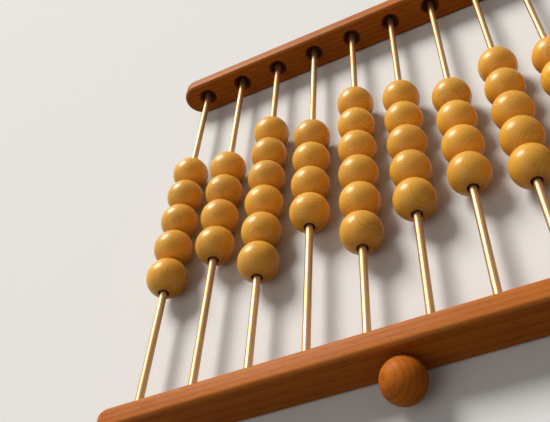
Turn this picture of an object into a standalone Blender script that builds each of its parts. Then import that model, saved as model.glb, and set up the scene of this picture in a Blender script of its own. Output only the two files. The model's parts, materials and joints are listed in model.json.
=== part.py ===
"""Abacus that lies on its two rails: ten metal rods, wooden ball beads and a ball knob.

Metres, +Z up. X runs along the rails. Y runs along the rods, from the near rail to the far
one. The origin is on the table, under the middle of the whole.
"""

import math

import bmesh
import bpy

# Beads: turned balls with a bore along the rod.
BEAD_DIAMETER = 0.0200
BEAD_SEGMENTS = 16
BEAD_RINGS = 6

# Rods: round bars, pressed into blind holes in both rails.
ROD_DIAMETER = 0.0036
ROD_CHAMFER = 0.0005
ROD_SEGMENTS = 12
FREE_LENGTH = 0.2320  # between the rails' inner faces

# Rails: slats whose ends are half circles.
RAIL_THICKNESS = 0.0090
RAIL_END = 0.0160  # from the outermost rod's axis to the rail's tip
RAIL_EDGE = 0.0017  # radius of the eased edges
RAIL_END_SEGMENTS = 12
COUNTERSINK_DIAMETER = 0.0120
ROD_FLOOR = 0.0030  # wood left behind the end of a rod

# Knob: a ball with a flat seat, and a tenon glued into the near rail.
KNOB_DIAMETER = 0.0178
KNOB_SEAT_DIAMETER = 0.0070
KNOB_TENON_DIAMETER = 0.0050
KNOB_TENON_CHAMFER = 0.0006
KNOB_FLOOR = 0.0040  # wood left behind the tenon
KNOB_SEGMENTS = 20
KNOB_RINGS = 10

# Clearances.
FIT = 0.00015  # round a rod or a tenon in its hole
TOUCH = 0.0003  # between two pieces that touch
BEAD_PLAY = 0.0007  # round a rod in a bead's bore
BEAD_SIDE_GAP = 0.0060  # between the beads of two rods
TABLE_GAP = 0.0006  # under the beads, when the rails lie on a table

# On each rod, from left to right: its beads, and the free rod between the near rail and them.
BEAD_COUNTS = (5, 4, 6, 4, 6, 5, 4, 5, 4, 4)
FREE_NEAR = (
    0.0647,
    0.0759,
    0.0547,
    0.0759,
    0.0515,
    0.0608,
    0.0653,
    0.0569,
    0.0680,
    0.0600,
)

# Sizes and places that follow from the ones above.
BEAD_BORE = ROD_DIAMETER + 2 * BEAD_PLAY
BEAD_LENGTH = math.sqrt(BEAD_DIAMETER**2 - BEAD_BORE**2)
ROD_PITCH = BEAD_DIAMETER + BEAD_SIDE_GAP
ROD_SEAT = RAIL_THICKNESS - ROD_FLOOR
ROD_HOLE = ROD_DIAMETER + 2 * FIT
RAIL_WIDTH = BEAD_DIAMETER + 2 * TABLE_GAP
RAIL_LENGTH = (len(BEAD_COUNTS) - 1) * ROD_PITCH + 2 * RAIL_END
KNOB_TENON_LENGTH = RAIL_THICKNESS - KNOB_FLOOR
KNOB_CENTRE = math.sqrt(KNOB_DIAMETER**2 - KNOB_SEAT_DIAMETER**2) / 2  # from its seat
KNOB_REACH = TOUCH + KNOB_CENTRE + KNOB_DIAMETER / 2
DEPTH = KNOB_REACH + 2 * RAIL_THICKNESS + FREE_LENGTH
NEAR_OUTER = KNOB_REACH - DEPTH / 2
NEAR_INNER = NEAR_OUTER + RAIL_THICKNESS
FAR_INNER = NEAR_INNER + FREE_LENGTH
AXIS_HEIGHT = RAIL_WIDTH / 2


def rod_x(index):
    return (index - (len(BEAD_COUNTS) - 1) / 2) * ROD_PITCH


def material(name, colour, roughness, metallic=0.0):
    made = bpy.data.materials.new(name)
    made.use_nodes = True
    shader = made.node_tree.nodes["Principled BSDF"]
    shader.inputs["Base Color"].default_value = (*colour, 1.0)
    shader.inputs["Roughness"].default_value = roughness
    shader.inputs["Metallic"].default_value = metallic
    made.diffuse_color = (*colour, 1.0)
    return made


def turned(name, profile, segments):
    """A mesh turned about Y from (radius, y) points, in order of rising y along the outside.
    A profile whose ends lie off the axis is a ring, closed by its bore."""
    bored = profile[0][0] > 0
    shape = bmesh.new()
    points = [shape.verts.new((radius, y, 0)) for radius, y in profile]
    ends = zip(points, points[1:] + points[:1]) if bored else zip(points, points[1:])
    edges = [shape.edges.new(pair) for pair in ends]
    bmesh.ops.spin(
        shape,
        geom=points + edges,
        axis=(0, 1, 0),
        cent=(0, 0, 0),
        angle=2 * math.pi,
        steps=segments,
        use_merge=True,
    )
    bmesh.ops.remove_doubles(shape, verts=shape.verts, dist=1e-6)
    bmesh.ops.recalc_face_normals(shape, faces=shape.faces)
    mesh = bpy.data.meshes.new(name)
    shape.to_mesh(mesh)
    shape.free()
    mesh.shade_smooth()
    mesh.set_sharp_from_angle(angle=math.radians(35))
    return mesh


def ball_arc(radius, centre, first, last, rings):
    """Points on a ball round (0, centre), from the angle first to last, measured from -Y."""
    steps = [first + (last - first) * step / rings for step in range(rings + 1)]
    return [(radius * math.sin(a), centre - radius * math.cos(a)) for a in steps]


def bead_mesh():
    """A ball whose outside runs from one mouth of the bore to the other."""
    radius, bore = BEAD_DIAMETER / 2, BEAD_BORE / 2
    mouth = math.asin(bore / radius)
    arc = ball_arc(radius, 0, mouth, math.pi - mouth, BEAD_RINGS)
    return turned("bead", arc, BEAD_SEGMENTS)


def rod_mesh():
    radius = ROD_DIAMETER / 2
    half = FREE_LENGTH / 2 + ROD_SEAT - TOUCH
    profile = [
        (0, -half),
        (radius - ROD_CHAMFER, -half),
        (radius, -half + ROD_CHAMFER),
        (radius, half - ROD_CHAMFER),
        (radius - ROD_CHAMFER, half),
        (0, half),
    ]
    return turned("rod", profile, ROD_SEGMENTS)


def knob_mesh():
    """Ball and tenon. The flat seat is at y = 0, and the tenon at +Y."""
    radius, tenon = KNOB_DIAMETER / 2, KNOB_TENON_DIAMETER / 2
    stop = math.pi - math.asin(KNOB_SEAT_DIAMETER / KNOB_DIAMETER)
    profile = [
        *ball_arc(radius, -KNOB_CENTRE, 0, stop, KNOB_RINGS),
        (tenon, 0),
        (tenon, KNOB_TENON_LENGTH - KNOB_TENON_CHAMFER),
        (tenon - KNOB_TENON_CHAMFER, KNOB_TENON_LENGTH),
        (0, KNOB_TENON_LENGTH),
    ]
    return turned("knob", profile, KNOB_SEGMENTS)


def place(name, mesh, look, parent=None, location=(0, 0, 0)):
    made = bpy.data.objects.new(name, mesh)
    bpy.context.scene.collection.objects.link(made)
    made.parent = parent
    made.location = location
    if look and not mesh.materials:
        mesh.materials.append(look)
    return made


def empty(name, location):
    made = bpy.data.objects.new(name, None)
    bpy.context.scene.collection.objects.link(made)
    made.location = location
    made.empty_display_size = BEAD_DIAMETER
    return made


def slat_mesh(name):
    """The rail's outline in the XZ plane, a bar with half-circle ends, made thick along Y."""
    radius = RAIL_WIDTH / 2
    reach = RAIL_LENGTH / 2 - radius
    shape = bmesh.new()
    outline = []
    for side in (1, -1):
        for step in range(RAIL_END_SEGMENTS + 1):
            angle = side * math.pi / 2 - math.pi * step / RAIL_END_SEGMENTS
            x = side * reach + radius * math.cos(angle)
            outline.append(shape.verts.new((x, 0, radius * math.sin(angle))))
    face = shape.faces.new(outline)
    out = bmesh.ops.extrude_face_region(shape, geom=[face])["geom"]
    moved = [item for item in out if isinstance(item, bmesh.types.BMVert)]
    bmesh.ops.translate(shape, verts=moved, vec=(0, RAIL_THICKNESS, 0))
    bmesh.ops.recalc_face_normals(shape, faces=shape.faces)
    mesh = bpy.data.meshes.new(name)
    shape.to_mesh(mesh)
    shape.free()
    mesh.shade_smooth()
    mesh.set_sharp_from_angle(angle=math.radians(35))
    return mesh


def hole_profile():
    """A rod's blind hole with a right-angled countersink. Its mouth is at y = 0."""
    mouth, radius = COUNTERSINK_DIAMETER / 2, ROD_HOLE / 2
    return [
        (0, -TOUCH),
        (mouth, -TOUCH),
        (mouth, 0),
        (radius, mouth - radius),
        (radius, ROD_SEAT),
        (0, ROD_SEAT),
    ]


def tenon_hole_profile():
    """The knob's blind hole. Its mouth is at y = 0, and the tenon stops short of its bottom."""
    radius = KNOB_TENON_DIAMETER / 2 + FIT
    depth = KNOB_TENON_LENGTH
    return [(0, -TOUCH), (radius, -TOUCH), (radius, depth), (0, depth)]


def cut(target, name, mesh, location, turned_round=False):
    """Cuts one hole into a rail, with a hidden wire cutter that stays editable."""
    cutter = place(name, mesh, None, target, location)
    if turned_round:
        cutter.rotation_euler = (0, 0, math.pi)
    cutter.hide_render = True
    cutter.display_type = "WIRE"
    boolean = target.modifiers.new(name, "BOOLEAN")
    boolean.operation = "DIFFERENCE"
    boolean.solver = "EXACT"
    boolean.object = cutter


def rail(name, look, outer, toward_far):
    """One rail with its eased edges and countersunk holes. Its local y = 0 is the face at -Y."""
    made = place(name, slat_mesh(name), look, None, (0, outer, AXIS_HEIGHT))
    eased = made.modifiers.new("eased_edges", "BEVEL")
    eased.width = RAIL_EDGE
    eased.segments = 2
    eased.limit_method = "ANGLE"
    eased.angle_limit = math.radians(40)
    hole = turned(name + "_rod_hole", hole_profile(), ROD_SEGMENTS)
    for index in range(len(BEAD_COUNTS)):
        mouth = RAIL_THICKNESS if toward_far else 0
        where = (rod_x(index), mouth, 0)
        cut(made, f"{name}_hole_{index + 1:02d}", hole, where, toward_far)
    return made


for old in list(bpy.data.objects):
    bpy.data.objects.remove(old, do_unlink=True)

bead_wood = material("bead_wood", (0.74, 0.37, 0.05), 0.45)
rail_wood = material("rail_wood", (0.42, 0.12, 0.02), 0.5)
rod_steel = material("rod_steel", (0.86, 0.69, 0.44), 0.3, 1.0)

near = rail("rail_near", rail_wood, NEAR_OUTER, True)
far = rail("rail_far", rail_wood, FAR_INNER, False)
tenon_hole = turned("tenon_hole", tenon_hole_profile(), KNOB_SEGMENTS)
cut(near, "rail_near_tenon_hole", tenon_hole, (0, 0, 0))

place("ball_knob", knob_mesh(), rail_wood, None, (0, NEAR_OUTER - TOUCH, AXIS_HEIGHT))

rod, bead = rod_mesh(), bead_mesh()
for index, (count, free) in enumerate(zip(BEAD_COUNTS, FREE_NEAR)):
    number = index + 1
    line = empty(f"line_{number:02d}", (rod_x(index), NEAR_INNER, AXIS_HEIGHT))
    place(f"rod_{number:02d}", rod, rod_steel, line, (0, FREE_LENGTH / 2, 0))
    for step in range(count):
        centre = free + BEAD_LENGTH / 2 + step * (BEAD_LENGTH + TOUCH)
        place(f"bead_{number:02d}_{step + 1}", bead, bead_wood, line, (0, centre, 0))
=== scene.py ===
import json
import math

import bmesh
import bpy
import numpy as np
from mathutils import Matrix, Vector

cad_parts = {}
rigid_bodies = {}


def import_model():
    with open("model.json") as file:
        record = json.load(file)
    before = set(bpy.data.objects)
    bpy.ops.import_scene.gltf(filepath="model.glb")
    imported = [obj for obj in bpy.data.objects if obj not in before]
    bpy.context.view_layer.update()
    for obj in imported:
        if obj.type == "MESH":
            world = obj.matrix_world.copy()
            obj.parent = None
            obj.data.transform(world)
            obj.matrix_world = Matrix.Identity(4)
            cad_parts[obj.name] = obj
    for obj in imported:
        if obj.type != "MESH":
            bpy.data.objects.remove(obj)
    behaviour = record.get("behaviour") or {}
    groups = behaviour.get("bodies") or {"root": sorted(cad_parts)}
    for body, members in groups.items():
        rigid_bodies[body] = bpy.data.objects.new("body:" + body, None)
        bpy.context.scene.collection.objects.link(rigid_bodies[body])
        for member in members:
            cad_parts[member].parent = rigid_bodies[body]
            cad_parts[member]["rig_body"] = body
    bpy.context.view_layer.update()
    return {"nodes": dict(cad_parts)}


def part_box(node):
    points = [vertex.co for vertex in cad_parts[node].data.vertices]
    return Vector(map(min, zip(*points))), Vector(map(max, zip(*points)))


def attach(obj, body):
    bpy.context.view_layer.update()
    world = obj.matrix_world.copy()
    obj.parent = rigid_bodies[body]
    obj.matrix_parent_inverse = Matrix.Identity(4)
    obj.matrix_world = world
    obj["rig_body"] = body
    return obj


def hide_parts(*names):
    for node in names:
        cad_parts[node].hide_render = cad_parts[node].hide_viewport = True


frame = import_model()
print("frame loaded:", len(frame["nodes"]), "nodes")


def addNode(tree, kind, inputs=None, **settings):
    # an input that is a socket gets linked, any other value is set on the node's own socket
    made = tree.nodes.new(kind)
    for name, value in settings.items():
        setattr(made, name, value)
    for name, value in (inputs or {}).items():
        if isinstance(value, bpy.types.NodeSocket):
            tree.links.new(value, made.inputs[name])
        else:
            made.inputs[name].default_value = value
    return made


def readAttribute(tree, name, output):
    return addNode(tree, "ShaderNodeAttribute", attribute_name=name).outputs[output]


def doMath(tree, operation, a, b=0.0, clamp=False):
    made = addNode(tree, "ShaderNodeMath", {0: a, 1: b}, operation=operation)
    made.use_clamp = clamp
    return made.outputs[0]


def mixColours(tree, factor, a, b):
    return addNode(tree, "ShaderNodeMix", {0: factor, 6: a, 7: b}, data_type="RGBA").outputs[2]


def remap(tree, value, low, high, outLow=0.0, outHigh=1.0):
    sockets = {"Value": value, "From Min": low, "From Max": high, "To Min": outLow, "To Max": outHigh}
    return addNode(tree, "ShaderNodeMapRange", sockets).outputs["Result"]


def stretched(tree, coords, scale):
    return addNode(tree, "ShaderNodeMapping", {"Vector": coords, "Scale": scale}).outputs["Vector"]


def noiseValue(tree, coords, scale, detail=2.0, roughness=0.5):
    sockets = {"Vector": coords, "Scale": scale, "Detail": detail, "Roughness": roughness}
    return addNode(tree, "ShaderNodeTexNoise", sockets).outputs["Fac"]


def addMaterial(name):
    made = bpy.data.materials.new(name)
    made.use_nodes = True
    return made, made.node_tree, made.node_tree.nodes["Principled BSDF"]


def addBump(tree, shader, height, strength, depth):
    bump = addNode(tree, "ShaderNodeBump", {"Height": height, "Strength": strength, "Distance": depth})
    tree.links.new(bump.outputs["Normal"], shader.inputs["Normal"])


anyWood = {
    "latePower": 2.2,  # how narrow the dark part of a ring is
    "fibreStretch": 0.045,
    "cloudStretch": 0.4,
    "poreStretch": 0.09,
    "poreFrom": 0.62,
    "poreTo": 0.74,
    # roughness added where shade is painted
    "paintedShadeRoughness": 0.35,
    "glowDepth": 0.0030,
    "glowColours": (1.0, 0.35, 0.12),  # red light goes furthest
    "reliefDepth": 0.00004,
}
honeyWood = {
    "light": (0.90, 0.450, 0.042),
    "dark": (0.60, 0.208, 0.015),
    "pore": (0.24, 0.075, 0.010),
    "rubbed": (0.84, 0.460, 0.070),
    # colour of the painted shade in bores, holes and where parts meet
    "paintedShade": (0.045, 0.018, 0.008),
    "ringSpacing": 0.0013,
    "ringWander": 3.2,
    "wanderScale": 0.30,
    "stretch": 0.35,  # of the rings along the fibres
    "fibreScale": 3600.0,
    "cloudScale": 110.0,
    "poreScale": 2800.0,
    "ringDepth": 0.40,
    "fibreDepth": 0.17,
    "cloudDepth": 0.20,
    "poreDepth": 0.30,
    "roughness": 0.48,
    "gloss": 0.32,
    "glossTint": (1.0, 0.86, 0.55),
    "glow": 0.26,  # share of the light that creeps on under the surface
    "lacquer": 0.40,
    "lacquerRoughness": 0.23,
    "relief": 0.35,
}
brownWood = {
    "light": (0.50, 0.135, 0.012),
    "dark": (0.30, 0.064, 0.007),
    "pore": (0.10, 0.028, 0.008),
    "rubbed": (0.60, 0.220, 0.050),
    # colour of the painted shade in bores, holes and where parts meet
    "paintedShade": (0.035, 0.015, 0.008),
    "ringSpacing": 0.0024,
    "ringWander": 4.0,
    "wanderScale": 0.22,
    "stretch": 0.10,
    "fibreScale": 3000.0,
    "cloudScale": 60.0,
    "poreScale": 2600.0,
    "ringDepth": 0.60,
    "fibreDepth": 0.24,
    "cloudDepth": 0.20,
    "poreDepth": 0.60,
    "roughness": 0.54,
    "gloss": 0.12,
    "glossTint": (1.0, 0.72, 0.42),
    "glow": 0.0,
    "lacquer": 0.05,
    "lacquerRoughness": 0.32,
    "relief": 0.45,
}


def woodColour(tree, wood, grain):
    # rings round the grain's Z, fibres and clouds drawn out along it, and short pores
    rings = addNode(tree, "ShaderNodeTexWave", {
        "Vector": stretched(tree, grain, (1, 1, wood["stretch"])),
        "Scale": 2 * math.pi / (20 * wood["ringSpacing"]),  # the wave repeats 20 / 2 pi times in a unit
        "Distortion": wood["ringWander"],
        "Detail": 2.0,
        "Detail Scale": wood["wanderScale"],
        "Detail Roughness": 0.45,
    }, wave_type="RINGS", rings_direction="Z", wave_profile="SAW").outputs["Fac"]
    lateWood = doMath(tree, "POWER", rings, anyWood["latePower"])
    alongFibres = stretched(tree, grain, (1, 1, anyWood["fibreStretch"]))
    fibres = noiseValue(tree, alongFibres, wood["fibreScale"], 3.0, 0.6)
    alongClouds = stretched(tree, grain, (1, 1, anyWood["cloudStretch"]))
    clouds = noiseValue(tree, alongClouds, wood["cloudScale"])
    alongPores = stretched(tree, grain, (1, 1, anyWood["poreStretch"]))
    specks = noiseValue(tree, alongPores, wood["poreScale"], 1.0)
    pores = remap(tree, specks, anyWood["poreFrom"], anyWood["poreTo"])

    dark = doMath(tree, "MULTIPLY", lateWood, wood["ringDepth"])
    for value, depth in ((fibres, wood["fibreDepth"]), (clouds, wood["cloudDepth"])):
        dark = doMath(tree, "ADD", dark, remap(tree, value, 0.3, 0.7, -depth, depth), clamp=value is clouds)
    colour = mixColours(tree, dark, (*wood["light"], 1), (*wood["dark"], 1))
    colour = mixColours(tree, doMath(tree, "MULTIPLY", pores, wood["poreDepth"]), colour, (*wood["pore"], 1))
    return colour, lateWood, fibres, clouds, pores


def woodMaterial(name, wood):
    # a piece's attributes say where it lies in the wood, how light it is, where shade is painted on it, and
    # where it is rubbed
    made, tree, shader = addMaterial(name)
    colour, lateWood, fibres, clouds, pores = woodColour(tree, wood, readAttribute(tree, "grain", "Vector"))
    tone, paintedShade, wear = (readAttribute(tree, attribute, "Fac") for attribute in ("tone", "paintedShade", "wear"))

    colour = addNode(tree, "ShaderNodeHueSaturation", {"Color": colour, "Value": tone}).outputs["Color"]
    rubbed = doMath(tree, "MULTIPLY", wear, remap(tree, clouds, 0.35, 0.6, 0.2, 1.0))
    colour = mixColours(tree, rubbed, colour, (*wood["rubbed"], 1))
    # painted shade: darkens the colour towards a near-black brown where the attribute says
    colour = mixColours(tree, paintedShade, colour, (*wood["paintedShade"], 1))
    tree.links.new(colour, shader.inputs["Base Color"])

    rough = remap(tree, fibres, 0.3, 0.7, wood["roughness"] - 0.05, wood["roughness"] + 0.07)
    rough = doMath(tree, "ADD", rough, doMath(tree, "MULTIPLY", paintedShade, anyWood["paintedShadeRoughness"]))
    tree.links.new(rough, shader.inputs["Roughness"])
    shader.inputs["Specular IOR Level"].default_value = wood["gloss"]
    shader.inputs["Specular Tint"].default_value = (*wood["glossTint"], 1)
    shader.inputs["Subsurface Weight"].default_value = wood["glow"]
    shader.inputs["Subsurface Radius"].default_value = anyWood["glowColours"]
    shader.inputs["Subsurface Scale"].default_value = anyWood["glowDepth"]
    shader.inputs["Coat Weight"].default_value = wood["lacquer"]
    shader.inputs["Coat Roughness"].default_value = wood["lacquerRoughness"]
    shader.inputs["Coat IOR"].default_value = 1.5

    height = doMath(tree, "SUBTRACT", fibres, doMath(tree, "MULTIPLY", pores, 0.8))
    height = doMath(tree, "ADD", height, doMath(tree, "MULTIPLY", lateWood, 0.5))
    addBump(tree, shader, height, wood["relief"], anyWood["reliefDepth"])
    return made


rodSteel = {
    "light": (0.64, 0.385, 0.185),
    "tarnish": (0.43, 0.235, 0.105),
    "roughness": 0.40,
    "lineScale": 5200.0,
    "patchScale": 55.0,
    "speckScale": 1500.0,
    "lineStretch": 0.012,
    "patchStretch": 0.35,
    "speckDepth": 0.35,
    "tarnishRoughness": 0.14,
    "relief": 0.22,
    "reliefDepth": 0.00001,
}


def steelMaterial(name, steel):
    # fine lines drawn along the rod, with soft tarnish in patches and a few specks
    made, tree, shader = addMaterial(name)
    coords = addNode(tree, "ShaderNodeTexCoord").outputs["Object"]
    alongLines = stretched(tree, coords, (1, steel["lineStretch"], 1))
    lines = noiseValue(tree, alongLines, steel["lineScale"], 2.0, 0.6)
    alongPatches = stretched(tree, coords, (1, steel["patchStretch"], 1))
    patches = noiseValue(tree, alongPatches, steel["patchScale"], 4.0, 0.6)
    specks = remap(tree, noiseValue(tree, coords, steel["speckScale"], 1.0), 0.68, 0.78)
    amount = remap(tree, patches, 0.40, 0.72, 0.05, 0.65)
    amount = doMath(tree, "ADD", amount, doMath(tree, "MULTIPLY", specks, steel["speckDepth"]), clamp=True)
    colour = mixColours(tree, amount, (*steel["light"], 1), (*steel["tarnish"], 1))
    tree.links.new(colour, shader.inputs["Base Color"])
    rough = doMath(tree, "ADD", remap(tree, lines, 0.3, 0.7, -0.04, 0.08), steel["roughness"])
    rough = doMath(tree, "ADD", rough, doMath(tree, "MULTIPLY", amount, steel["tarnishRoughness"]))
    tree.links.new(rough, shader.inputs["Roughness"])
    shader.inputs["Metallic"].default_value = 1.0
    addBump(tree, shader, lines, steel["relief"], steel["reliefDepth"])
    return made


beadWood = woodMaterial("honeyBeadWood", honeyWood)
railWood = woodMaterial("brownRailWood", brownWood)
rodMetal = steelMaterial("warmRodSteel", rodSteel)
print("finishes made")


def gridFaces(rows, columns, closedRows=False):
    # the quad (i, j) has the corners (i, j), (i+1, j), (i+1, j+1), (i, j+1); columns always wrap round
    row, column = np.meshgrid(np.arange(rows if closedRows else rows - 1), np.arange(columns), indexing="ij")
    nextRow, nextColumn = (row + 1) % rows, (column + 1) % columns
    corners = (
        row * columns + column,
        nextRow * columns + column,
        nextRow * columns + nextColumn,
        row * columns + nextColumn,
    )
    return np.stack(corners, -1).reshape(-1, 4)


def turned(profile, steps):
    # each (radius, along) goes round the Y axis: x = radius cos a, y = along, z = radius sin a
    angle = 2 * math.pi * np.arange(steps) / steps
    radius, along = profile[:, :1], profile[:, 1:]
    return np.stack([radius * np.cos(angle), along + 0 * angle, radius * np.sin(angle)], -1)


def arc(centre, radius, first, last, steps):
    # points of a circle: (across, along) = centre + radius (cos a, sin a), with a from first to last
    angle = np.linspace(first, last, steps + 1)
    return np.stack([centre[0] + radius * np.cos(angle), centre[1] + radius * np.sin(angle)], -1)


def curve(start, bend, end, count):
    # (1-t)^2 start + 2t(1-t) bend + t^2 end, with t from 0 to 1: a corner at bend, rounded off
    t = np.linspace(0, 1, count)[:, None]
    return (1 - t) ** 2 * np.array(start) + 2 * t * (1 - t) * np.array(bend) + t**2 * np.array(end)


def smoothStep(value, low, high):
    # 3t^2 - 2t^3, with t from 0 at low to 1 at high
    t = np.clip((value - low) / (high - low), 0, 1)
    return t * t * (3 - 2 * t)


def randomTurn(chance):
    # the turning matrix of the unit quaternion w, x, y, z that four draws give
    drawn = chance.normal(size=4)
    w, x, y, z = drawn / np.linalg.norm(drawn)
    return np.array([
        [1 - 2 * (y * y + z * z), 2 * (x * y - w * z), 2 * (x * z + w * y)],
        [2 * (x * y + w * z), 1 - 2 * (x * x + z * z), 2 * (y * z - w * x)],
        [2 * (x * z - w * y), 2 * (y * z + w * x), 1 - 2 * (x * x + y * y)],
    ])


def cleanMesh(name, points, faces, tolerance, outward=True):
    # merging doubles closes the seams between grids and the poles
    mesh = bpy.data.meshes.new(name)
    mesh.from_pydata(points.tolist(), [], faces.tolist())
    work = bmesh.new()
    work.from_mesh(mesh)
    bmesh.ops.remove_doubles(work, verts=work.verts, dist=tolerance)
    if outward:
        bmesh.ops.recalc_face_normals(work, faces=work.faces)
    work.to_mesh(mesh)
    work.free()
    return mesh


def addPiece(name, grids, finish, node, sharpAngle=40):
    # grids is a list of (points as rows x columns x 3, whether the last row joins the first)
    points, faces, start = [], [], 0
    for grid, closedRows in grids:
        points.append(grid.reshape(-1, 3))
        faces.append(gridFaces(grid.shape[0], grid.shape[1], closedRows) + start)
        start += grid.shape[0] * grid.shape[1]
    mesh = cleanMesh(name, np.concatenate(points), np.concatenate(faces), 2e-6)
    mesh.shade_smooth()
    mesh.set_sharp_from_angle(angle=math.radians(sharpAngle))
    mesh.materials.append(finish)
    piece = bpy.data.objects.new(name, mesh)
    bpy.context.scene.collection.objects.link(piece)
    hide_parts(node)
    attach(piece, frame["nodes"][node]["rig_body"])
    return piece


def meshPoints(piece):
    points = np.empty(len(piece.data.vertices) * 3, np.float32)
    piece.data.vertices.foreach_get("co", points)
    return points.reshape(-1, 3).astype(float)


def setAttribute(piece, name, values):
    kind, field = ("FLOAT_VECTOR", "vector") if values.ndim == 2 else ("FLOAT", "value")
    made = piece.data.attributes.new(name, kind, "POINT")
    made.data.foreach_set(field, values.astype(np.float32).ravel())


def setWood(piece, grain, tone, paintedShade, wear):
    setAttribute(piece, "grain", grain)
    setAttribute(piece, "tone", np.full(len(grain), tone))
    setAttribute(piece, "paintedShade", paintedShade)
    setAttribute(piece, "wear", wear)


def middle(node):
    low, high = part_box(node)
    return (np.array(low) + np.array(high)) / 2


# a bead is a turned ball, bored through, with a small rounded lip at each mouth
bead = {
    "diameter": 0.0200,
    "bore": 0.0050,
    "lip": 0.00035,
    "unevenness": 0.012,  # how much narrower than its length a bead may be
    "boreShadeWidth": 0.0008,  # width of the painted shade in and round the bore
    "boreShadeDepth": 0.92,
    "contactShadeWidth": 0.0040,  # of the fainter, wider ring of painted shade where the beads meet
    "contactShadeDepth": 0.34,
    "toneSpread": 0.07,
    "pithNear": 0.012,  # least distance of a bead's middle from the middle of its tree
    "pithSpread": (0.03, 0.01, 1.0),
    "steps": 64,
    "rings": 36,
    "lipRings": 5,
    "boreRings": 5,
    "seed": 11,
}


def beadProfile():
    # lip arc, ball arc, lip arc, then back along the bore
    # a lip's centre is one lip radius off the bore's wall, on a ball that is smaller by the lip
    radius, bore, lip = bead["diameter"] / 2, bead["bore"] / 2, bead["lip"]
    lipAlong = math.sqrt((radius - lip) ** 2 - (bore + lip) ** 2)
    start = math.atan2(bore + lip, lipAlong)
    near = arc((bore + lip, -lipAlong), lip, -math.pi, start - math.pi / 2, bead["lipRings"])
    ball = arc((0, 0), radius, start - math.pi / 2, math.pi / 2 - start, bead["rings"])
    far = near[::-1] * (1, -1)
    wallAlong = np.linspace(lipAlong, -lipAlong, bead["boreRings"] + 2)[1:-1]
    wall = np.stack([bore + 0 * wallAlong, wallAlong], -1)
    return np.concatenate([near, ball[1:-1], far, wall])


def turnBead(node, grid, chance):
    # x and z are scaled by 1 - narrowing s, where s rises smoothly from the bore's lip to the belly
    narrowing = bead["unevenness"] * chance.random()
    centre = middle(node)
    across = np.hypot(grid[..., 0], grid[..., 2])
    bulge = smoothStep(across, bead["bore"] / 2 + bead["lip"], bead["diameter"] / 2)
    slim = (1 - narrowing * bulge)[..., None] ** (1, 0, 1)
    piece = addPiece("turned_" + node, [(grid * slim + centre, True)], beadWood, node)
    local = meshPoints(piece) - centre
    away = np.hypot(local[:, 0], local[:, 2])
    rim = away - bead["bore"] / 2
    # painted shade: dark in and round the bore, and fainter and wider where a bead meets its neighbours
    boreShade = bead["boreShadeDepth"] * (1 - smoothStep(rim, 0, bead["boreShadeWidth"]))
    contactShade = bead["contactShadeDepth"] * (1 - smoothStep(rim, 0, bead["contactShadeWidth"]))
    turning = randomTurn(chance)
    pith = chance.random(3) * bead["pithSpread"] + (bead["pithNear"], 0, 0)
    tone = 1 + bead["toneSpread"] * (2 * chance.random() - 1)
    setWood(piece, local @ turning.T + pith, tone, np.maximum(boreShade, contactShade), 0 * away)


beadNames = sorted(name for name in frame["nodes"] if name.startswith("bead_"))
beadGrid = turned(beadProfile(), bead["steps"])
beadChance = np.random.default_rng(bead["seed"])
for node in beadNames:
    turnBead(node, beadGrid, beadChance)
print("beads turned:", len(beadNames))

# a rod is a drawn bar with a small chamfer at each end
rod = {"diameter": 0.0036, "chamfer": 0.0005, "steps": 48, "rings": 25, "sharpAngle": 25}


def rodProfile(half):
    # flat end, chamfer, straight wall in equal lengths, chamfer, flat end
    radius, chamfer = rod["diameter"] / 2, rod["chamfer"]
    along = np.linspace(-half + chamfer, half - chamfer, rod["rings"])
    wall = np.stack([np.full(rod["rings"], radius), along], -1)
    ends = np.array([(0, -half), (radius - chamfer, -half)])
    return np.concatenate([ends, wall, ends[::-1] * (1, -1)])


rodNames = sorted(name for name in frame["nodes"] if name.startswith("rod_"))
for node in rodNames:
    low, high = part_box(node)
    grid = turned(rodProfile((high.y - low.y) / 2), rod["steps"]) + middle(node)
    addPiece("drawn_" + node, [(grid, False)], rodMetal, node, rod["sharpAngle"])
print("rods drawn:", len(rodNames))

# a rail is a slat with half-circle ends, eased edges, and a countersunk blind hole for each rod
rail = {
    "thickness": 0.0090,
    "height": 0.0212,
    "length": 0.2660,
    "edge": 0.0017,
    "edgeSteps": 6,
    "mouth": 0.0120,
    "mouthLip": 0.00025,
    "lipRings": 5,
    "hole": 0.0039,
    "seat": 0.0060,
    "tenonHole": 0.0053,
    "tenonDepth": 0.0050,
    "columns": 96,
    "faceRings": (0, 0.04, 0.25, 0.5, 0.75, 0.93),  # from a hole's share of the face to its mouth
    "coneRings": (0.08, 0.2, 0.4, 0.7, 1),  # from a countersink's lip to the hole
    "sharpAngle": 38,
    "tone": 1.0,
    "holeShade": 0.88,  # how dark the painted shade in the countersinks and holes is
    "holeShadeFrom": 0.0001,
    "holeShadeTo": 0.0012,
    "wearGain": 2.2,
    "wear": 0.55,  # how far the eased edges are rubbed, at most
}
rodPlaces = np.sort([middle(node)[0] for node in rodNames])
pitch = float(np.diff(rodPlaces).mean())
flatHeight = rail["height"] / 2 - rail["edge"]
endCentre = rail["length"] / 2 - rail["height"] / 2


def holeAngles():
    # equal steps a = 2 pi k / columns; the ones nearest to the corners of a hole's share go onto them
    angle = 2 * math.pi * np.arange(rail["columns"]) / rail["columns"]
    inner = math.atan2(flatHeight, pitch / 2)
    outer = math.atan2(flatHeight, endCentre - rodPlaces[-1])
    for corner in (inner, outer):
        for wanted in (corner, math.pi - corner, math.pi + corner, 2 * math.pi - corner):
            angle[np.abs(angle - wanted).argmin()] = wanted
    return angle


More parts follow.
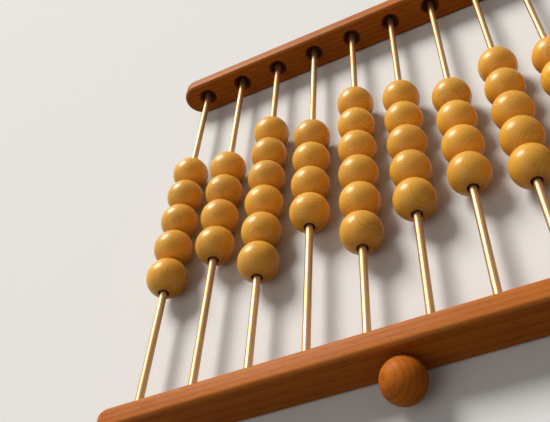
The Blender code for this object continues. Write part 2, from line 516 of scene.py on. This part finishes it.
def shareReach(angle, place):
    # length of the ray at angle a: h / |sin a| to the long edge, (pitch / 2) / |cos a| halfway to the next
    # hole, and g cos a + sqrt(h^2 - (g sin a)^2) to the round end, whose centre is g beyond the hole
    across, up = np.cos(angle), np.sin(angle)
    with np.errstate(divide="ignore"):
        toEdge = flatHeight / np.abs(up)
        toNext = pitch / 2 / np.abs(across)
    reach = np.minimum(toEdge, toNext)
    for side, last in ((-1, rodPlaces[0]), (1, rodPlaces[-1])):
        if abs(place - last) > 1e-6:
            continue
        gap = abs(side * endCentre - place)
        forward = side * across
        toEnd = gap * forward + np.sqrt(np.maximum(flatHeight**2 - (gap * up) ** 2, 0))
        reach = np.where(forward > 1e-9, np.where(toEdge * forward > gap, toEnd, toEdge), reach)
    return reach


def facePatch(place, angle, reach, profile, face, inward):
    # radius = (1 - e) reach + e mouth on the flat face, with e from 0 to almost 1, and then the profile
    # goes down the hole
    ease = np.array(rail["faceRings"])[:, None]
    faceRadius = (1 - ease) * reach + ease * profile[0, 0]
    radius = np.concatenate([faceRadius, profile[:, :1] + 0 * angle])
    depth = np.concatenate([0 * faceRadius, profile[:, 1:] + 0 * angle])
    return np.stack([place + radius * np.cos(angle), face + inward * depth, radius * np.sin(angle)], -1)


def rodHoleProfile():
    # (radius, depth) of a rounded lip, a right-angled cone in uneven steps, a straight hole and its floor
    mouth, hole, lip, seat = rail["mouth"] / 2, rail["hole"] / 2, rail["mouthLip"], rail["seat"]
    slant = 0.7 * lip  # across and down, so that the lip is as long on the cone as on the face
    lipPoints = curve((mouth + lip, 0), (mouth, 0), (mouth - slant, slant), rail["lipRings"])
    t = np.array(rail["coneRings"])[:, None]
    cone = (1 - t) * lipPoints[-1] + t * (hole, mouth - hole)
    return np.concatenate([lipPoints, cone, [(hole, seat), (0, seat)]])


def tenonHoleProfile():
    # (radius, depth) of a straight hole and its floor
    radius, depth = rail["tenonHole"] / 2, rail["tenonDepth"]
    return np.array([(radius, 0), (radius, depth), (0, depth)])


def outlineOrder(points):
    # distance along the flat face's border: top edge, left end, bottom edge, right end
    x, z = points[:, 0], points[:, 1]
    straight, turn = 2 * endCentre, math.pi * flatHeight
    left = flatHeight * (np.arctan2(z, x + endCentre) % (2 * math.pi) - math.pi / 2)
    right = flatHeight * (np.arctan2(z, x - endCentre) + math.pi / 2)
    order = np.where(z > 0, endCentre - x, straight + turn + x + endCentre)
    order = np.where(x < -endCentre - 1e-7, straight + left, order)
    return np.where(x > endCentre + 1e-7, 2 * straight + turn + right, order)


def shareBorder(angle, place):
    # x = place + reach cos a, z = reach sin a
    reach = shareReach(angle, place)
    return np.stack([place + reach * np.cos(angle), reach * np.sin(angle)], -1)


def borderPoints(angle):
    # the shares' border points that lie on the outline of the flat face, once each and in order
    points = np.concatenate([shareBorder(angle, place) for place in rodPlaces])
    onEdge = np.abs(np.abs(points[:, 1]) - flatHeight) < 1e-8
    onEnd = np.abs(points[:, 0]) > endCentre + 1e-8
    points = np.unique(np.round(points[onEdge | onEnd], 8), axis=0)
    return points[np.argsort(outlineOrder(points))]


def rimGrid(border, face, inward):
    # the border moved out by edge sin t and in by edge (1 - cos t), then straight back, and the same
    # turned round
    ends = np.sign(border[:, :1]) * endCentre * (1, 0)
    away = np.where(np.abs(border[:, :1]) > endCentre, border - ends, border * (0, 1))
    outward = away / np.linalg.norm(away, axis=1, keepdims=True)
    turn = np.linspace(0, math.pi / 2, rail["edgeSteps"] + 1)
    out, deep = rail["edge"] * np.sin(turn), rail["edge"] * (1 - np.cos(turn))
    out = np.concatenate([out, out[::-1]])[:, None]
    deep = np.concatenate([deep, rail["thickness"] - deep[::-1]])[:, None]
    x = border[:, 0] + out * outward[:, 0]
    z = border[:, 1] + out * outward[:, 1]
    return np.stack([x, face + inward * (deep + 0 * x), z], -1)


def tenonPatch(angle, places, face, inward):
    # the shares of two neighbours joined into one, with rays from the tenon's hole midway between them
    points = np.concatenate([shareBorder(angle, place) for place in places])
    onSeam = (np.abs(points[:, 0]) < 1e-8) & (np.abs(np.abs(points[:, 1]) - flatHeight) > 1e-8)
    points = np.unique(np.round(points[~onSeam], 8), axis=0)
    points = points[np.argsort(np.arctan2(points[:, 1], points[:, 0]))]
    around, reach = np.arctan2(points[:, 1], points[:, 0]), np.hypot(points[:, 0], points[:, 1])
    return facePatch(0, around, reach, tenonHoleProfile(), face, inward)


def railGrids(inner, outer, tenon):
    # rim, inner face with the rods' holes, and outer face, plain or with the tenon's hole in its middle
    angle = holeAngles()
    inward = 1 if outer > inner else -1
    grids = [rimGrid(borderPoints(angle), inner, inward)]
    for place in rodPlaces:
        reach = shareReach(angle, place)
        grids.append(facePatch(place, angle, reach, rodHoleProfile(), inner, inward))
        if not tenon or abs(place) > pitch:
            grids.append(facePatch(place, angle, reach, np.zeros((1, 2)), outer, -inward))
    if tenon:
        grids.append(tenonPatch(angle, rodPlaces[np.abs(rodPlaces) < pitch], outer, -inward))
    return grids


def dressRail(node, innerIsHigh, tenon, pith):
    low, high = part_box(node)
    inner, outer = (high.y, low.y) if innerIsHigh else (low.y, high.y)
    lift = np.array([0, 0, (low.z + high.z) / 2])
    grids = [(grid + lift, False) for grid in railGrids(inner, outer, tenon)]
    piece = addPiece("eased_" + node, grids, railWood, node, rail["sharpAngle"])
    points = meshPoints(piece)
    deep = np.abs(points[:, 1] - inner)
    up = points[:, 2] - lift[2]
    # rubbed where a point is near both the outline and a face, which is only on the eased edges
    past = np.maximum(np.abs(points[:, 0]) - endCentre, 0)
    fromSide = rail["height"] / 2 - np.hypot(past, up)
    fromFace = np.minimum(deep, rail["thickness"] - deep)
    nearSide, nearFace = (np.clip(1 - value / rail["edge"], 0, 1) for value in (fromSide, fromFace))
    wear = np.clip(rail["wearGain"] * nearSide * nearFace, 0, rail["wear"])
    # painted shade in the countersinks and holes, dark from just under a countersink's lip
    away = np.hypot(np.abs(points[:, :1] - rodPlaces).min(axis=1), up)
    inHole = (away < rail["mouth"] / 2) & (deep < (rail["seat"] + rail["thickness"]) / 2)
    paintedShade = rail["holeShade"] * smoothStep(deep, rail["holeShadeFrom"], rail["holeShadeTo"]) * inHole
    grain = points[:, [1, 2, 0]] + pith  # the fibres run along the rail
    setWood(piece, grain, rail["tone"], paintedShade, wear)


dressRail("rail_near", True, True, (0.16, -0.030, 0.40))
dressRail("rail_far", False, False, (-0.095, 0.022, 1.10))
print("rails shaped")

# the knob is a ball with a flat seat on the near rail, and a tenon
knob = {
    "diameter": 0.0178,
    "seat": 0.0070,
    "seatEase": 0.0003,
    "seatRings": 5,
    "tenon": 0.0050,
    "tenonChamfer": 0.0006,
    "steps": 64,
    "rings": 32,
    "tone": 1.05,
    # painted shade on the ball, darkest at its seat on the rail
    "seatShade": 0.5,
    "seatShadeWidth": 0.0012,
    "pith": (0.02, 0.01, 0.6),
    "seed": 5,
}


def knobProfile(seatAlong, tenonEnd):
    # ball arc from the tip to just short of the seat, a small rounding, flat seat, tenon
    radius, seat, tenon = knob["diameter"] / 2, knob["seat"] / 2, knob["tenon"] / 2
    ease, chamfer = knob["seatEase"], knob["tenonChamfer"]
    centre = seatAlong - math.sqrt(radius**2 - seat**2)
    stop = math.acos((seat + ease) / radius)
    ball = arc((0, centre), radius, -math.pi / 2, stop, knob["rings"])
    corner = curve(ball[-1], (seat, seatAlong), (seat - ease, seatAlong), knob["seatRings"])[1:]
    rest = [(tenon, seatAlong), (tenon, tenonEnd - chamfer), (tenon - chamfer, tenonEnd), (0, tenonEnd)]
    return np.concatenate([ball, corner, rest])


def turnKnob(node):
    low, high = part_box(node)
    seatAlong = low.y + knob["diameter"] / 2 + math.sqrt(knob["diameter"] ** 2 - knob["seat"] ** 2) / 2
    axis = middle(node) * (1, 0, 1)
    grid = turned(knobProfile(seatAlong, high.y), knob["steps"]) + axis
    piece = addPiece("turned_" + node, [(grid, False)], railWood, node)
    points = meshPoints(piece)
    # painted shade, darkening towards the seat where the ball meets the rail
    paintedShade = knob["seatShade"] * smoothStep(points[:, 1], seatAlong - knob["seatShadeWidth"], seatAlong)
    turning = randomTurn(np.random.default_rng(knob["seed"]))
    grain = (points - axis - (0, seatAlong, 0)) @ turning.T + knob["pith"]
    setWood(piece, grain, knob["tone"], paintedShade, 0 * paintedShade)


turnKnob("ball_knob")
print("knob turned")

studio = {
    "floorColour": (0.80, 0.785, 0.76),  # as the camera and the rods see it
    "floorBounce": (0.13, 0.105, 0.085),  # what it throws back onto the abacus
    "floorRadius": 7.0,
    "floorRings": 9,
    "floorSteps": 96,
    "floorDrop": 0.0002,  # below the rails
    "worldColour": (1.0, 0.985, 0.965),
    "worldLight": 0.15,
    "worldGloss": 0.50,
    "worldSeen": 0.76,
    "keyFrom": (-0.85, 1.50, 1.45),
    "keySpread": 26.0,  # degrees across, which softens the shadows
    "keyStrength": 3.4,
    "fillFrom": (-0.9, -0.9, 1.6),
    "fillSpread": 50.0,
    "fillStrength": 0.45,
    "lampColour": (1.0, 0.98, 0.95),
}


def addFloor():
    # a flat disc of rings, x = r cos a, y = r sin a, just under the rails
    rings, steps = studio["floorRings"], studio["floorSteps"]
    angle = 2 * math.pi * np.arange(steps) / steps
    radius = np.linspace(0, studio["floorRadius"], rings)[:, None]
    drop = 0 * radius * angle - studio["floorDrop"]
    points = np.stack([radius * np.cos(angle), radius * np.sin(angle), drop], -1)
    mesh = cleanMesh("floor", points.reshape(-1, 3), gridFaces(rings, steps), 1e-5, outward=False)
    made, tree, shader = addMaterial("paleFloor")
    path = addNode(tree, "ShaderNodeLightPath")
    seen = doMath(tree, "MAXIMUM", path.outputs["Is Camera Ray"], path.outputs["Is Glossy Ray"])
    colour = mixColours(tree, seen, (*studio["floorBounce"], 1), (*studio["floorColour"], 1))
    tree.links.new(colour, shader.inputs["Base Color"])
    shader.inputs["Roughness"].default_value = 0.85
    shader.inputs["Specular IOR Level"].default_value = 0.2
    mesh.materials.append(made)
    floor = bpy.data.objects.new("floor", mesh)
    bpy.context.scene.collection.objects.link(floor)


def addLamp(name, source, spread, strength):
    # light from far off in one direction, so that the whole floor is lit alike
    lamp = bpy.data.lights.new(name, "SUN")
    lamp.angle = math.radians(spread)
    lamp.energy = strength
    lamp.color = studio["lampColour"]
    made = bpy.data.objects.new(name, lamp)
    bpy.context.scene.collection.objects.link(made)
    made.location = source
    made.rotation_euler = (-made.location).to_track_quat("-Z", "Y").to_euler()


def addWorld():
    # even soft light all round; the camera and the rods see the same pale tone, a little brighter
    world = bpy.data.worlds.new("studio")
    bpy.context.scene.world = world
    world.use_nodes = True
    tree = world.node_tree
    tree.nodes.clear()
    path = addNode(tree, "ShaderNodeLightPath")
    glossy = remap(tree, path.outputs["Is Glossy Ray"], 0, 1, studio["worldLight"], studio["worldGloss"])
    strength = remap(tree, path.outputs["Is Camera Ray"], 0, 1, glossy, studio["worldSeen"])
    colour = (*studio["worldColour"], 1)
    shown = addNode(tree, "ShaderNodeBackground", {"Color": colour, "Strength": strength})
    addNode(tree, "ShaderNodeOutputWorld", {"Surface": shown.outputs[0]})


addFloor()
addLamp("key", studio["keyFrom"], studio["keySpread"], studio["keyStrength"])
addLamp("fill", studio["fillFrom"], studio["fillSpread"], studio["fillStrength"])
addWorld()

view = {
    "place": (0.06947, -0.26882, 0.21840),
    "turn": (49.893, 24.563, -1.127),  # degrees
    "lens": 46.690,
    "shift": (-0.1273, -0.0836),
}


def addCamera():
    lens = bpy.data.cameras.new("camera")
    lens.lens = view["lens"]
    lens.sensor_width = 36
    lens.shift_x, lens.shift_y = view["shift"]
    lens.clip_start = 0.01
    camera = bpy.data.objects.new("camera", lens)
    bpy.context.scene.collection.objects.link(camera)
    camera.location = view["place"]
    camera.rotation_euler = [math.radians(angle) for angle in view["turn"]]
    bpy.context.scene.camera = camera


addCamera()
bpy.context.scene.view_settings.view_transform = "Standard"
print("studio set")
